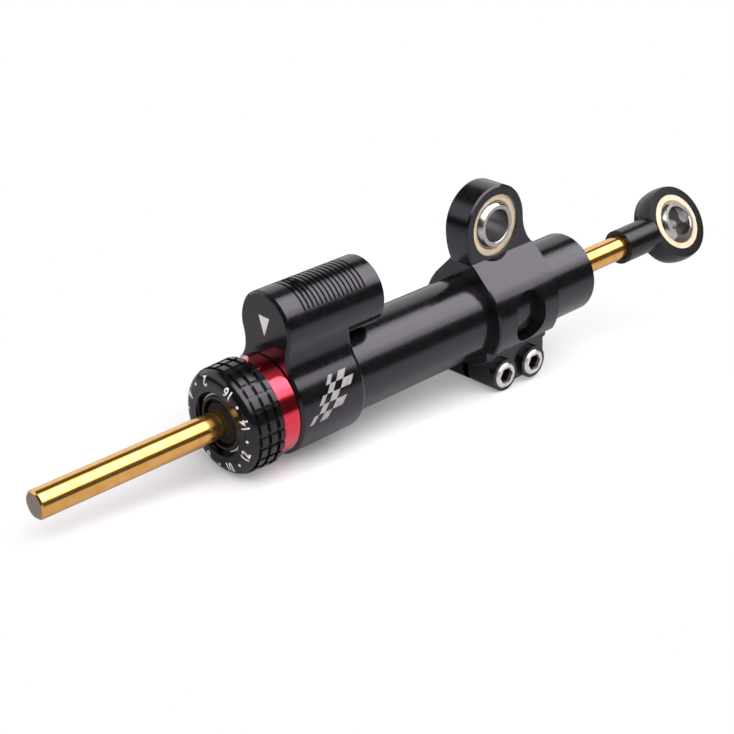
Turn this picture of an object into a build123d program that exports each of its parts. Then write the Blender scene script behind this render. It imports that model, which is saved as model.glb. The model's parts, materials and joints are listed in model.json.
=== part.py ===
from build123d import *
import math
import os

# A linear steering damper for a motorcycle. All lengths are in millimetres and all angles in degrees.
# While it is drawn, X runs along the rod from the head block's front face towards the rod end,
# Z is up and the rod's axis is Y = Z = 0. On export everything moves so that the origin is the
# centre of the frame eye's ball.

# Fits and cutting
running_clearance = 0.05
seat_clearance = 0.02
end_play = 0.1
cut_overrun = 1.0

# Rod
rod_diameter = 8.0
rod_tail = 74.7
rod_tip_chamfer = 0.6
rod_thread_diameter = 6.0
rod_thread_length = 10.0
rod_shoulder_inset = 1.6

# Cylinder tube
tube_diameter = 25.5
tube_bore = 20.0
tube_end = 124.6
tube_socket_depth = 8.0
tube_edge_chamfer = 0.9
tube_seat_step = 0.3

# Head block with its reservoir
head_diameter = 30.6
head_length = 24.0
head_shoulder_radius = 2.4
head_front_chamfer = 0.8
reservoir_rear_chamfer = 0.4
head_spigot_diameter = 22.8
head_spigot_length = 5.3
head_front_bore = 19.6
reservoir_diameter = 20.4
reservoir_length = 35.0
reservoir_rise = 23.2
reservoir_lean = 3.0
reservoir_bore = 14.0
reservoir_front_wall = 4.0
waist_radius = 9.9
passage_diameter = 2.8
passage_place = 6.0

# Cooling grooves round the top of the reservoir
groove_count = 15
groove_first = 7.0
groove_pitch = 1.54
groove_width = 0.6
groove_depth = 0.5
groove_half_sweep = 57.0

# Red indexing collar
collar_diameter = 29.0
collar_length = 6.2
collar_edge_chamfer = 0.4

# Click of the dial
detent_ball_diameter = 2.0
detent_ball_stand_out = 0.35
detent_hole_depth = 4.4
detent_wire_diameter = 0.3
detent_turns = 5
click_count = 16
click_pocket_diameter = 1.4
click_pocket_depth = 0.45

# Adjuster dial
dial_diameter = 31.2
dial_length = 10.9
dial_gap = 0.2
dial_mouth_diameter = 18.6
dial_mouth_depth = 2.25
dial_flat_diameter = 23.0
dial_rim_diameter = 30.0
dial_dome_depth = 2.3
dial_grip_taper = 0.3
dial_front_groove = 0.8
grip_row_lengths = (2.0, 2.0)
grip_row_gap = 1.1
grip_depth = 1.0
grip_notch_depth = 0.75
grip_count = 26
grip_notch_width = 1.15
grip_first_angle = 53.7

# Metering sleeve turned by the dial
sleeve_outer_diameter = 19.4
sleeve_seat_depth = 3.0
sleeve_end_gap = 0.4
sleeve_port_count = 6
sleeve_port_diameter = 1.8
sleeve_port_step_share = 0.12
sleeve_ring_place = 2.0
sleeve_ring_thickness = 0.8

# Front gland
nose_diameter = 16.0
nose_stand_out = 16.4
nose_chamfer = 0.3
nose_recess_diameter = 14.0
nose_recess_depth = 2.0
flange_diameter = 22.4
flange_place = 10.0
front_spigot_length = 5.9

# Seals and bushes round the rod
bush_thickness = 1.0
front_bush_length = 14.0
rear_bush_length = 5.0
seal_diameter = 13.2
seal_length = 3.0
wiper_diameter = 12.2
wiper_length = 3.0
wiper_inset = 0.4
wiper_face_chamfer = 0.4
wiper_lip_length = 0.8
wiper_lip_thickness = 0.9
static_ring_thickness = 1.4
static_ring_squeeze_share = 0.9
ring_groove_share = 1.3
seal_wall_share = 0.33
seal_root_share = 0.5

# Rear gland and its circlip
rear_gland_length = 12.5
circlip_thickness = 1.0
circlip_groove_depth = 0.7
circlip_width = 1.8
circlip_gap_angle = 40.0

# Dial's retaining ring
dial_ring_outer_diameter = 17.0
dial_ring_thickness = 0.65
dial_ring_groove_depth = 0.6
dial_ring_rounding = 0.25

# Piston on the rod
piston_place = 45.0
piston_length = 12.0
piston_clearance = 0.08
piston_ring_length = 3.0
piston_ring_thickness = 1.3
piston_edge_chamfer = 0.5
rod_clip_thickness = 0.9
rod_clip_depth = 0.6
rod_clip_diameter = 12.0

# Compensator in the reservoir
floater_place = 14.0
floater_length = 8.0
floater_ring_thickness = 1.5
floater_dish_diameter = 9.6
floater_dish_depth = 3.0
compensator_wire_diameter = 1.1
compensator_coil_diameter = 10.8
compensator_turns = 4
cap_inset = 1.9
cap_length = 3.6
cap_ring_thickness = 1.5
cap_socket_across_flats = 5.0
cap_socket_depth = 1.6

# Spherical bearings of both eyes
eye_bore = 10.0
ball_sphere_diameter = 16.4
ball_width = 10.4
ball_bore_chamfer = 0.2
race_diameter = 19.0
race_width = 7.6
race_mouth_chamfer = 0.3

# Clamp round the tube
eye_place = 87.1
eye_height = 27.7
eye_boss_radius = 12.4
plate_thickness = 9.2
plate_root_rise = 2.0
plate_edge_chamfer = 0.5
plate_flare_height = 10.0
ledge_share = 0.5625
ledge_chamfer = 0.4
spotface_radius = 10.8
ring_wall = 3.2
ring_start = 77.0
ring_width = 26.6
flank_foot_rise = 1.5
window_width = 12.6
window_height = 16.2
window_place = 90.7
slit_width = 2.2

# Lugs and pinch screws of the clamp
screw_spacing = 12.7
screw_middle = 89.7
screw_drop = 18.2
lug_thickness = 20.4
lug_web_rise = 1.0
lug_tail = 1.2
boss_diameter = 10.2
boss_stand_out = 1.7
screw_diameter = 5.0
screw_head_diameter = 8.1
screw_head_height = 5.0
screw_head_stand_out = 0.6
screw_head_clearance = 0.15
screw_hole_clearance = 0.25
screw_socket_across_flats = 4.8
screw_socket_depth = 3.2
screw_head_chamfer = 0.5
screw_tip_inset = 0.6

# Rod end
rod_eye_place = 178.5
rod_end_sphere_diameter = 26.1
rod_end_width = 7.6
rod_end_turn = 33.0
rod_end_neck_diameter = 11.4
rod_end_neck_start = 151.3
rod_end_face_margin = 0.3
rod_end_mouth_clearance = 0.25

# Values worked out from those above
rod_radius = rod_diameter / 2
bore_radius = tube_bore / 2
head_radius = head_diameter / 2
reservoir_radius = reservoir_diameter / 2
ring_radius = tube_diameter / 2 + running_clearance + ring_wall
ball_radius = ball_sphere_diameter / 2
tube_start = head_length - tube_socket_depth
flange_end = tube_start
spigot_end = flange_end + front_spigot_length
dial_rear = -(collar_length + dial_gap)
dial_front = dial_rear - dial_length
dial_step = dial_front + dial_mouth_depth
sleeve_front = dial_rear - sleeve_seat_depth
sleeve_rear = flange_place - sleeve_end_gap
sleeve_bore = nose_diameter + running_clearance * 2
seat_step_radius = bore_radius + tube_seat_step
rear_circlip_end = tube_end - circlip_thickness
rear_gland_end = rear_circlip_end - circlip_thickness
rear_gland_start = rear_gland_end - rear_gland_length
cap_end = reservoir_length - cap_inset
cap_start = cap_end - cap_length
floater_end = floater_place + floater_length
ring_end = ring_start + ring_width
ledge_drop = ring_radius * ledge_share
plate_root = ring_radius + plate_root_rise
plate_start = eye_place - eye_boss_radius
lug_face = lug_thickness / 2
boss_face = lug_face + boss_stand_out
screw_face = boss_face + screw_head_stand_out
screw_tip = boss_face - screw_tip_inset
detent_ball_place = -(collar_length + detent_ball_stand_out) + detent_ball_diameter / 2
detent_hole_end = -collar_length + detent_hole_depth
detent_circle_radius = (head_spigot_diameter + collar_diameter) / 4
rod_shoulder = rod_end_neck_start + rod_shoulder_inset
reservoir_turn = Rot(reservoir_lean, 0, 0)


def bar(diameter, start, end):
    """A round bar along the rod's axis."""
    return Pos(start, 0, 0) * Rot(0, 90, 0) * Cylinder(
        diameter / 2, end - start, align=(Align.CENTER, Align.CENTER, Align.MIN)
    )


def edges_at(body, axis, place):
    """The edges whose middle lies at one place along an axis."""
    return body.edges().filter_by_position(axis, place - seat_clearance, place + seat_clearance)


def sleeve(outer, inner, start, end):
    """A round sleeve along the rod's axis."""
    return bar(outer, start, end) - bar(inner, start - cut_overrun, end + cut_overrun)


def turned(outline):
    """A body turned about the rod's axis from points of (place along the rod, radius)."""
    return revolve(make_face(Polyline(*outline, close=True)), Axis.X)


def seal_ring(thickness, middle_radius, place):
    """An O-ring round the rod's axis."""
    circle = Plane.XY * Pos(place, middle_radius) * Circle(thickness / 2)
    return revolve(circle, Axis.X)


def ring_groove(bore, thickness, place):
    """The cutter of an O-ring's groove in a round piece that sits in a bore."""
    half = thickness * ring_groove_share / 2
    return sleeve(bore + cut_overrun, bore - thickness * 2, place - half, place + half)


def groove_ring(bore, thickness, place):
    """An O-ring pressed flat a little between its groove's floor and the bore."""
    return seal_ring(thickness * static_ring_squeeze_share, (bore - thickness) / 2, place)


def coil(wire, mean_diameter, turns, start, end):
    """A helical compression spring along the rod's axis."""
    reach = end - start - wire
    path = Helix(reach / turns, reach, mean_diameter / 2)
    section = (path ^ 0) * Circle(wire / 2)
    return Pos(start + wire / 2, 0, 0) * Rot(0, 90, 0) * sweep(section, path)


def split_ring(outer, inner, start, end, gap_angle):
    """A circlip whose gap faces straight down."""
    ring = sleeve(outer, inner, start, end)
    half_gap = outer * math.tan(math.radians(gap_angle / 2))
    wedge = Polyline((0, 0), (half_gap, -outer), (-half_gap, -outer), close=True)
    cutter = extrude(Plane.YZ * make_face(wedge), end - start + cut_overrun * 2)
    return ring - Pos(start - cut_overrun, 0, 0) * cutter


def reservoir_ring(outer, inner, start, end):
    """A round sleeve on the reservoir's own axis."""
    return Pos(0, 0, reservoir_rise) * sleeve(outer, inner, start, end)


def upright_hole(diameter, height):
    """The cutter of a hole straight up from the rod's axis, where the oil passage is."""
    hole = Cylinder(diameter / 2, height, align=(Align.CENTER, Align.CENTER, Align.MIN))
    return Pos(passage_place, 0, 0) * hole


def head_outline():
    """The head block's section: two circles joined by a waist of tangent arcs."""
    head_reach = head_radius + waist_radius
    reservoir_reach = reservoir_radius + waist_radius
    centre_up = (head_reach**2 - reservoir_reach**2 + reservoir_rise**2) / (reservoir_rise * 2)
    centre_out = math.sqrt(head_reach**2 - centre_up**2)
    low_share = head_radius / head_reach
    high_share = reservoir_radius / reservoir_reach
    low = (centre_out * low_share, centre_up * low_share)
    high = (centre_out * high_share, reservoir_rise + (centre_up - reservoir_rise) * high_share)
    middle = (centre_out - waist_radius, centre_up)
    right = ThreePointArc(low, middle, high)
    left = ThreePointArc((-high[0], high[1]), (-middle[0], middle[1]), (-low[0], low[1]))
    top = Line(high, (-high[0], high[1]))
    bottom = Line((-low[0], low[1]), low)
    waist = make_face([right, top, left, bottom])
    return Circle(head_radius) + Pos(0, reservoir_rise) * Circle(reservoir_radius) + waist


def cooling_grooves():
    """The cutters of the grooves round the reservoir's top."""
    outer = reservoir_diameter + cut_overrun * 2
    inner = reservoir_diameter - groove_depth * 2
    reach = reservoir_diameter
    side = reach * math.sin(math.radians(groove_half_sweep))
    rise = reach * math.cos(math.radians(groove_half_sweep))
    fan = make_face(Polyline((0, 0), (side, rise), (side, reach), (-side, reach), (-side, rise), close=True))
    sector = extrude(Plane.YZ * fan, groove_width)
    cutters = []
    for number in range(groove_count):
        start = groove_first + groove_pitch * number
        ring = sleeve(outer, inner, 0, groove_width) & sector
        cutters.append(Pos(start, 0, reservoir_rise) * ring)
    return cutters


def head_block():
    """The head block: tube socket, front spigot and the reservoir above."""
    outline = head_outline()
    body = extrude(Plane.YZ * outline, head_length)
    rear_edges = edges_at(body, Axis.X, head_length)
    lower_edges = rear_edges.filter_by(lambda edge: edge.center().Z < reservoir_rise - reservoir_radius)
    body = fillet(lower_edges, head_shoulder_radius)
    body += Pos(0, 0, reservoir_rise) * bar(reservoir_diameter, 0, reservoir_length)
    front_edges = edges_at(body, Axis.X, 0)
    body = chamfer(front_edges, head_front_chamfer)
    rear_rim = edges_at(body, Axis.X, reservoir_length)
    body = chamfer(rear_rim, reservoir_rear_chamfer)
    body += bar(head_spigot_diameter, -head_spigot_length, head_front_chamfer)
    body -= bar(tube_diameter + seat_clearance * 2, tube_start, head_length + cut_overrun)
    body -= bar(flange_diameter + seat_clearance * 2, flange_place, tube_start)
    body -= bar(head_front_bore, -head_spigot_length - cut_overrun, flange_place)
    body -= reservoir_bar(reservoir_bore, reservoir_front_wall, reservoir_length + cut_overrun)
    groove_bottom = reservoir_bore + circlip_groove_depth * 2
    body -= reservoir_ring(groove_bottom, reservoir_bore - cut_overrun, cap_end, cap_end + circlip_thickness)
    body -= upright_hole(passage_diameter, reservoir_rise)
    for cutter in cooling_grooves():
        body -= cutter
    return reservoir_turn * body


def cylinder_tube():
    """The plain tube, with a step for the rear gland and a groove for its circlip."""
    body = bar(tube_diameter, tube_start, tube_end)
    rim = edges_at(body, Axis.X, tube_end)
    body = chamfer(rim, tube_edge_chamfer)
    body -= bar(tube_bore, tube_start - cut_overrun, tube_end + cut_overrun)
    body -= bar(seat_step_radius * 2, rear_gland_start, tube_end + cut_overrun)
    groove = (seat_step_radius + circlip_groove_depth) * 2
    return body - bar(groove, rear_gland_end, rear_circlip_end)


def red_collar():
    """The coloured collar, with the blind hole of the click spring."""
    body = bar(collar_diameter, -collar_length, 0)
    body = chamfer(body.edges(), collar_edge_chamfer)
    body -= bar(head_spigot_diameter + seat_clearance * 2, -collar_length - cut_overrun, cut_overrun)
    hole = bar(detent_ball_diameter + running_clearance * 2, -collar_length - cut_overrun, detent_hole_end)
    return body - Pos(0, 0, detent_circle_radius) * hole


def detent_ball():
    """The ball that clicks in the dial's pockets."""
    return Pos(detent_ball_place, 0, detent_circle_radius) * Sphere(detent_ball_diameter / 2)


def detent_spring():
    """The spring behind the click ball."""
    start = detent_ball_place + detent_ball_diameter / 2
    mean = detent_ball_diameter - detent_wire_diameter - running_clearance * 2
    return Pos(0, 0, detent_circle_radius) * coil(
        detent_wire_diameter, mean, detent_turns, start, detent_hole_end
    )


def dial_body():
    """The dial's blank: domed face, mouth, bore and the seat of the metering sleeve."""
    mouth = dial_mouth_diameter / 2
    flat = dial_flat_diameter / 2
    rim = dial_rim_diameter / 2
    outer = dial_diameter / 2
    bore = nose_diameter / 2 + running_clearance
    seat = sleeve_outer_diameter / 2 + seat_clearance
    rim_place = dial_front + dial_dome_depth
    rise = rim - flat
    dome_radius = (rise**2 + dial_dome_depth**2) / (dial_dome_depth * 2)
    half_angle = math.asin(rise / dome_radius) / 2
    middle = (
        dial_front + dome_radius * (1 - math.cos(half_angle)),
        flat + dome_radius * math.sin(half_angle),
    )
    dome = ThreePointArc((dial_front, flat), middle, (rim_place, rim))
    rest = Polyline(
        (rim_place, rim),
        (rim_place, outer - dial_grip_taper),
        (dial_rear, outer),
        (dial_rear, seat),
        (sleeve_front, seat),
        (sleeve_front, bore),
        (dial_step, bore),
        (dial_step, mouth),
        (dial_front, mouth),
        (dial_front, flat),
    )
    return revolve(make_face([dome, rest]), Axis.X)


def adjuster_dial():
    """The dial, with three rows of grip blocks and the click pockets in its rear face."""
    body = dial_body()
    root = dial_diameter - grip_depth * 2
    wide = dial_diameter + cut_overrun * 2
    rim_place = dial_front + dial_dome_depth
    notch_start = rim_place + dial_front_groove
    body -= sleeve(wide, root, rim_place, notch_start)
    row_start = notch_start
    for length in grip_row_lengths:
        row_end = row_start + length
        body -= sleeve(wide, root, row_end, row_end + grip_row_gap)
        row_start = row_end + grip_row_gap
    notch_length = dial_rear - notch_start + cut_overrun
    notch_depth = grip_notch_depth + cut_overrun
    notch = Pos(notch_start, 0, dial_diameter / 2 - grip_notch_depth) * Box(
        notch_length, grip_notch_width, notch_depth, align=(Align.MIN, Align.CENTER, Align.MIN)
    )
    step = 360 / grip_count
    first = grip_first_angle + step / 2
    body -= [Rot(first + step * number, 0, 0) * notch for number in range(grip_count)]
    track = detent_ball_diameter + running_clearance * 2
    body -= seal_ring(track, detent_circle_radius, detent_ball_place)
    pocket_place = dial_rear - click_pocket_depth + click_pocket_diameter / 2
    pocket = Pos(pocket_place, 0, detent_circle_radius) * Sphere(click_pocket_diameter / 2)
    body -= [Rot(360 / click_count * number, 0, 0) * pocket for number in range(click_count)]
    return body


def metering_sleeve():
    """The rotary valve on the dial, with a row of ports that grow smaller."""
    body = sleeve(sleeve_outer_diameter, sleeve_bore, sleeve_front, sleeve_rear)
    body -= ring_groove(sleeve_outer_diameter, sleeve_ring_thickness, sleeve_ring_place)
    for number in range(sleeve_port_count):
        share = 1 - sleeve_port_step_share * number
        port = upright_hole(sleeve_port_diameter * share, sleeve_outer_diameter)
        body -= Rot(reservoir_lean - 360 / click_count * number, 0, 0) * port
    return body


def sleeve_ring():
    """The O-ring that seals the metering sleeve in the head block."""
    return groove_ring(sleeve_outer_diameter, sleeve_ring_thickness, sleeve_ring_place)


def front_gland():
    """The front gland: nose for the dial, flange in the head and spigot in the tube."""
    nose = nose_diameter / 2
    body = turned(
        [
            (-nose_stand_out, 0),
            (-nose_stand_out, nose - nose_chamfer),
            (-nose_stand_out + nose_chamfer, nose),
            (flange_place, nose),
            (flange_place, flange_diameter / 2),
            (flange_end, flange_diameter / 2),
            (flange_end, bore_radius - seat_clearance),
            (spigot_end, bore_radius - seat_clearance),
            (spigot_end, 0),
        ]
    )
    rod_hole = rod_diameter + bush_thickness
    bush_hole = rod_diameter + (bush_thickness + seat_clearance) * 2
    seal_start = spigot_end - seal_length - end_play
    bush_start = seal_start - front_bush_length
    pocket = seal_diameter + seat_clearance * 2
    wiper_pocket = wiper_diameter + seat_clearance * 2
    wiper_end = -nose_stand_out + wiper_inset + wiper_length
    recess_end = -nose_stand_out + nose_recess_depth
    body -= bar(rod_hole, -nose_stand_out - cut_overrun, spigot_end + cut_overrun)
    body -= bar(bush_hole, bush_start, spigot_end + cut_overrun)
    body -= bar(pocket, seal_start, spigot_end + cut_overrun)
    body -= bar(wiper_pocket, -nose_stand_out - cut_overrun, wiper_end)
    body -= bar(nose_recess_diameter, -nose_stand_out - cut_overrun, recess_end)
    body -= sleeve(
        nose_diameter + cut_overrun,
        nose_diameter - dial_ring_groove_depth * 2,
        dial_step - dial_ring_thickness - end_play,
        dial_step,
    )
    body -= ring_groove(flange_diameter, static_ring_thickness, (flange_place + flange_end) / 2)
    return body - reservoir_turn * upright_hole(sleeve_port_diameter, nose_diameter)


def dial_retaining_ring():
    """The spring ring on the nose that holds the dial."""
    inner = nose_diameter - dial_ring_groove_depth * 2 + seat_clearance * 2
    end = dial_step - end_play / 2
    ring = split_ring(dial_ring_outer_diameter, inner, end - dial_ring_thickness, end, circlip_gap_angle)
    rims = ring.edges().filter_by(GeomType.CIRCLE).filter_by(
        lambda edge: abs(edge.radius - dial_ring_outer_diameter / 2) < seat_clearance
    )
    return fillet(rims, dial_ring_rounding)


def flange_ring():
    """The O-ring in the front gland's flange."""
    return groove_ring(flange_diameter, static_ring_thickness, (flange_place + flange_end) / 2)


def front_guide_bush():
    """The plain bush that guides the rod in the front gland."""
    end = spigot_end - seal_length - end_play
    outer = rod_diameter + bush_thickness * 2
    return sleeve(outer, rod_diameter + running_clearance, end - front_bush_length, end)


def rod_seal(start, lip_sign):
    """A lip seal round the rod; the lip groove faces the oil."""
    inner = rod_radius + running_clearance
    outer = seal_diameter / 2
    wall = (outer - inner) * seal_wall_share
    middle = (outer + inner) / 2
    base = start if lip_sign > 0 else start + seal_length
    lip = base + seal_length * lip_sign
    root = base + seal_length * lip_sign * seal_root_share
    return turned(
        [
            (base, inner),
            (lip, inner),
            (lip, inner + wall),
            (root, middle),
            (lip, outer - wall),
            (lip, outer),
            (base, outer),
        ]
    )


def wiper(face, direction):
    """A dirt wiper whose lip points away from the cylinder."""
    inner = rod_radius + running_clearance
    outer = wiper_diameter / 2
    inside = face + wiper_length * direction
    lip = face - wiper_lip_length * direction
    return turned(
        [
            (inside, inner),
            (lip, inner),
            (face, inner + wiper_lip_thickness),
            (face, outer - wiper_face_chamfer),
            (face + wiper_face_chamfer * direction, outer),
            (inside, outer),
        ]
    )


def rear_gland():
    """The rear gland in the tube's end, held by the circlip."""
    body = bar(seat_step_radius * 2 - seat_clearance * 2, rear_gland_start, rear_gland_end)
    bush_hole = rod_diameter + (bush_thickness + seat_clearance) * 2
    pocket = seal_diameter + seat_clearance * 2
    seal_end = rear_gland_start + seal_length + end_play
    body -= bar(rod_diameter + bush_thickness, rear_gland_start - cut_overrun, rear_gland_end + cut_overrun)
    body -= bar(bush_hole, seal_end, seal_end + rear_bush_length)
    body -= bar(pocket, rear_gland_start - cut_overrun, seal_end)
    wiper_pocket = wiper_diameter + seat_clearance * 2
    body -= bar(wiper_pocket, rear_wiper_face() - wiper_length, rear_gland_end + cut_overrun)
    return body - ring_groove(seat_step_radius * 2, static_ring_thickness, rear_ring_place())


def rear_wiper_face():
    """Where the rear wiper's outer face lies."""
    return rear_gland_end - wiper_lip_length


def rear_gland_ring():
    """The O-ring round the rear gland."""
    return groove_ring(seat_step_radius * 2, static_ring_thickness, rear_ring_place())


def rear_ring_place():
    """Where the middle of the rear gland's O-ring lies."""
    return rear_gland_start + static_ring_thickness * 2


def rear_guide_bush():
    """The plain bush that guides the rod in the rear gland."""
    start = rear_gland_start + seal_length + end_play
    outer = rod_diameter + bush_thickness * 2
    return sleeve(outer, rod_diameter + running_clearance, start, start + rear_bush_length)


def rear_circlip():
    """The circlip in the tube's mouth."""
    outer = (seat_step_radius + circlip_groove_depth - seat_clearance) * 2
    inner = outer - circlip_width * 2
    return split_ring(outer, inner, rear_gland_end, rear_circlip_end, circlip_gap_angle)


def damper_rod():
    """The rod right through the cylinder, with clip grooves and a threaded end."""
    thread_end = rod_shoulder + rod_thread_length
    tip = bar(rod_diameter, -rod_tail, rod_shoulder)
    tip = chamfer(edges_at(tip, Axis.X, -rod_tail), rod_tip_chamfer)
    thread = bar(rod_thread_diameter, rod_shoulder, thread_end)
    thread = chamfer(edges_at(thread, Axis.X, thread_end), rod_tip_chamfer)
    body = tip + thread
    floor = rod_diameter - rod_clip_depth * 2
    for start in clip_places():
        body -= sleeve(rod_diameter + cut_overrun, floor, start, start + rod_clip_thickness)
    return body


def clip_places():
    """Where the two clips beside the piston start."""
    return (
        piston_place - rod_clip_thickness - end_play / 2,
        piston_place + piston_length + end_play / 2,
    )


def piston():
    """The piston on the rod, with a groove for its ring."""
    outer = tube_bore - piston_clearance * 2
    body = bar(outer, piston_place, piston_place + piston_length)
    body = chamfer(body.edges(), piston_edge_chamfer)
    piston_end = piston_place + piston_length
    body -= bar(rod_diameter + running_clearance, piston_place - cut_overrun, piston_end + cut_overrun)
    middle = piston_place + piston_length / 2
    groove_half = piston_ring_length / 2 + seat_clearance
    return body - sleeve(
        tube_bore, tube_bore - piston_ring_thickness * 2, middle - groove_half, middle + groove_half
    )


def piston_ring():
    """The slide ring round the piston."""
    middle = piston_place + piston_length / 2
    inner = tube_bore - (piston_ring_thickness - seat_clearance) * 2
    half = piston_ring_length / 2
    return sleeve(tube_bore - running_clearance, inner, middle - half, middle + half)


def piston_clips():
    """The two clips that hold the piston on the rod."""
    inner = rod_diameter - (rod_clip_depth - seat_clearance) * 2
    first = seat_clearance
    last = rod_clip_thickness - seat_clearance
    clip = split_ring(rod_clip_diameter, inner, first, last, circlip_gap_angle)
    return [Pos(start, 0, 0) * clip for start in clip_places()]


def compensator_piston():
    """The floating piston in the reservoir, dished for its spring."""
    body = reservoir_bar(reservoir_bore - running_clearance * 2, floater_place, floater_end)
    spring_seat = floater_end - floater_dish_depth
    dish_end = floater_place + floater_dish_depth
    body -= reservoir_bar(compensator_coil_outer(), spring_seat, floater_end + cut_overrun)
    body -= reservoir_bar(floater_dish_diameter, floater_place - cut_overrun, dish_end)
    groove = ring_groove(reservoir_bore, floater_ring_thickness, floater_ring_place())
    return reservoir_turn * (body - Pos(0, 0, reservoir_rise) * groove)


def reservoir_bar(diameter, start, end):
    """A round bar on the reservoir's own axis."""
    return Pos(0, 0, reservoir_rise) * bar(diameter, start, end)


def compensator_coil_outer():
    """The spring's outer diameter with room to work."""
    return compensator_coil_diameter + compensator_wire_diameter + end_play * 2


def compensator_ring():
    """The O-ring on the floating piston."""
    ring = groove_ring(reservoir_bore, floater_ring_thickness, floater_ring_place())
    return reservoir_turn * Pos(0, 0, reservoir_rise) * ring


def floater_ring_place():
    """Where the middle of the floating piston's O-ring lies."""
    return floater_place + floater_ring_thickness * 2


def compensator_spring():
    """The spring between the floating piston and the cap."""
    start = floater_end - floater_dish_depth
    spring = coil(
        compensator_wire_diameter, compensator_coil_diameter, compensator_turns, start, cap_start
    )
    return reservoir_turn * Pos(0, 0, reservoir_rise) * spring


def reservoir_cap():
    """The cap in the reservoir's rear end, with a hexagon socket."""
    body = reservoir_bar(reservoir_bore - seat_clearance * 2, cap_start, cap_end)
    groove = ring_groove(reservoir_bore, cap_ring_thickness, (cap_start + cap_end) / 2)
    body -= Pos(0, 0, reservoir_rise) * groove
    hexagon = RegularPolygon(cap_socket_across_flats / 2, 6, major_radius=False)
    socket = extrude(Plane.YZ * hexagon, cap_socket_depth + cut_overrun)
    body -= Pos(cap_end - cap_socket_depth, 0, reservoir_rise) * socket
    return reservoir_turn * body


def cap_ring():
    """The O-ring round the cap."""
    ring = groove_ring(reservoir_bore, cap_ring_thickness, (cap_start + cap_end) / 2)
    return reservoir_turn * Pos(0, 0, reservoir_rise) * ring


def cap_circlip():
    """The circlip behind the cap."""
    outer = reservoir_bore + (circlip_groove_depth - seat_clearance) * 2
    inner = outer - circlip_width * 2
    ring = split_ring(outer, inner, cap_end, cap_end + circlip_thickness, circlip_gap_angle)
    return reservoir_turn * Pos(0, 0, reservoir_rise) * ring


def bearing_ball():
    """A chromed ball with its bore along Y, centred at zero."""
    body = Sphere(ball_radius) & Box(ball_sphere_diameter, ball_width, ball_sphere_diameter)
    body -= Rot(90, 0, 0) * Cylinder(eye_bore / 2, ball_sphere_diameter)
    mouths = body.edges().filter_by(GeomType.CIRCLE).filter_by(
        lambda edge: abs(edge.radius - eye_bore / 2) < seat_clearance
    )
    return chamfer(mouths, ball_bore_chamfer)


def bearing_race():
    """The outer race that holds a ball, centred at zero."""
    body = Rot(90, 0, 0) * Cylinder(race_diameter / 2, race_width)
    body -= Sphere(ball_radius + running_clearance)
    inner_edges = body.edges().filter_by(GeomType.CIRCLE).filter_by(
        lambda edge: edge.radius < race_diameter / 2 - running_clearance
    )
    return chamfer(inner_edges, race_mouth_chamfer)


def shoulder_touch():
    """Where the flat shoulder under the eye plate leaves the ring, seen along the tube."""
    half = plate_thickness / 2
    lean = math.atan2(half, plate_root)
    turn = lean + math.acos(ring_radius / math.hypot(half, plate_root))
    return ring_radius * math.sin(turn), ring_radius * math.cos(turn)


def clamp_section():
    """The clamp seen along the tube: the ring and the eye plate on its flat shoulders."""
    half = plate_thickness / 2
    side, foot = shoulder_touch()
    top = eye_height + eye_boss_radius
    right = ((side, foot), (half, plate_root), (half, top))
    left = ((-half, top), (-half, plate_root), (-side, foot))
    return Circle(ring_radius) + make_face(Polyline(*right, *left, close=True))


def plate_flank(start, end, height):
    """A flank that leaves the eye's side straight down and bends to another place further down."""
    shift = end - start
    radius = (shift**2 + height**2) / (shift * 2)
    half_turn = math.asin(height / radius) / 2
    middle = (start + radius * (1 - math.cos(half_turn)), eye_height - radius * math.sin(half_turn))
    return ThreePointArc((start, eye_height), middle, (end, eye_height - height))


def clamp_side():
    """The clamp seen along the eye's bolt: a round boss above two bent flanks."""
    left = plate_start
    right = eye_place + eye_boss_radius
    low = eye_height - plate_flare_height
    bottom = -(screw_drop + boss_diameter)
    foot = ring_radius + flank_foot_rise
    crown = ThreePointArc((left, eye_height), (eye_place, eye_height + eye_boss_radius), (right, eye_height))
    right_flank = plate_flank(right, ring_end, plate_flare_height)
    left_flank = plate_flank(left, ring_start, eye_height - foot)
    rest = Polyline((ring_end, low), (ring_end, bottom), (ring_start, bottom), (ring_start, foot))
    return make_face([crown, right_flank, rest, left_flank])


def eye_plate():
    """The eye's plate above the ring, with a small bevel along its outline."""
    half = plate_thickness / 2
    plate = Pos(plate_start, 0, 0) * extrude(Plane.YZ * clamp_section(), ring_end - plate_start)
    plate &= slab(clamp_side(), ring_radius + cut_overrun)
    seams = plate.edges().filter_by(Axis.X)
    outline = edges_at(plate, Axis.Y, half) - seams
    outline += edges_at(plate, Axis.Y, -half) - seams
    plate = chamfer(outline, plate_edge_chamfer)
    height = eye_height + eye_boss_radius
    above = Box(ring_end, ring_radius * 2, height, align=(Align.CENTER, Align.CENTER, Align.MIN))
    return plate & Pos(eye_place, 0, shoulder_touch()[1]) * above


def ledge_room():
    """The cutters that leave a ledge on both sides of the ring, above the lugs."""
    width = ring_radius + cut_overrun - lug_face
    height = ring_radius + cut_overrun - ledge_drop
    length = ring_end - ring_start + cut_overrun * 2
    room = Box(length, width, height, align=(Align.MIN, Align.MIN, Align.MAX))
    left = Pos(ring_start - cut_overrun, lug_face, -ledge_drop) * room
    return left + mirror(left, Plane.XZ)


def lug_side():
    """The lugs seen along the pinch screws: two round bosses with a web between."""
    boss = Circle(boss_diameter / 2)
    reach = screw_drop
    post = Pos(0, reach / 2) * Rectangle(boss_diameter, reach)
    web_height = reach + boss_diameter / 2 - lug_web_rise
    web = Pos(screw_middle, -web_height / 2) * Rectangle(screw_spacing, web_height)
    outline = web
    for place in screw_places():
        outline += Pos(place, -screw_drop) * (boss + post)
    tail = Rectangle(boss_diameter / 2 + lug_tail, screw_drop, align=(Align.MIN, Align.MAX))
    return outline + Pos(screw_places()[1], 0) * tail


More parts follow.
